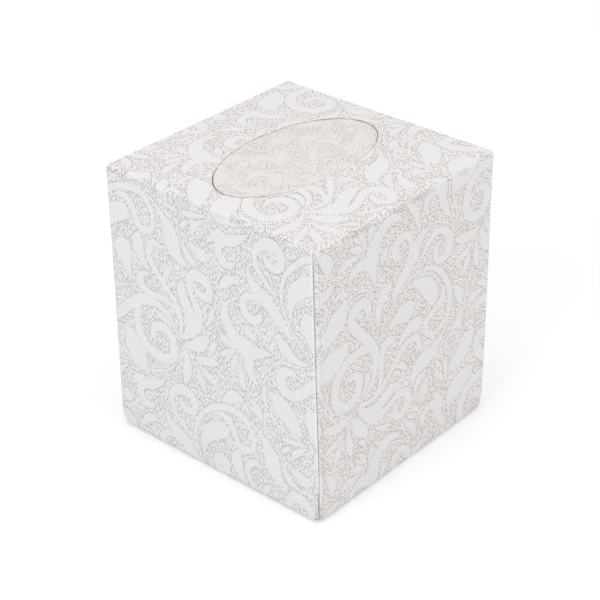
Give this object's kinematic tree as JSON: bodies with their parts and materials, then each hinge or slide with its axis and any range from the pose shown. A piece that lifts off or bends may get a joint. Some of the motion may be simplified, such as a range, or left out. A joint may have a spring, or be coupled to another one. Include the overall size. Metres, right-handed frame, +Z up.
{
  "type": "tissue box",
  "caption": "Cube tissue box covered in cream scroll-woven cloth, closed, with an oval panel cut loose in its top and folded tissues inside.",
  "frame": {"origin": "centre of the base, on the surface the box stands on", "axes": "+Z up; the oval's long axis lies along X; the front is the -Y side, the side with the fan low on its left"},
  "size_m": [0.1154, 0.1168, 0.1295],
  "materials": {
    "greyboard": "plain uncoated greyboard",
    "cloth_ground": "matt warm greige weave with fine brown flecks",
    "cloth_satin": "smooth off-white satin weave, slightly glossy",
    "panel_cloth": "matt grey-beige weave, softly blotched",
    "film": "thin clear film",
    "tissue": "soft matt white tissue"
  },
  "bodies": {
    "root": {"carton": "greyboard", "fabric_cover": "cloth_ground", "woven_scrolls_top": "cloth_satin", "woven_scrolls_front": "cloth_satin", "woven_scrolls_back": "cloth_satin", "woven_scrolls_left": "cloth_satin", "woven_scrolls_right": "cloth_satin", "oval_panel": "panel_cloth", "slit_film": "film", "tissue_stack": "tissue"}
  },
  "joints": []
}
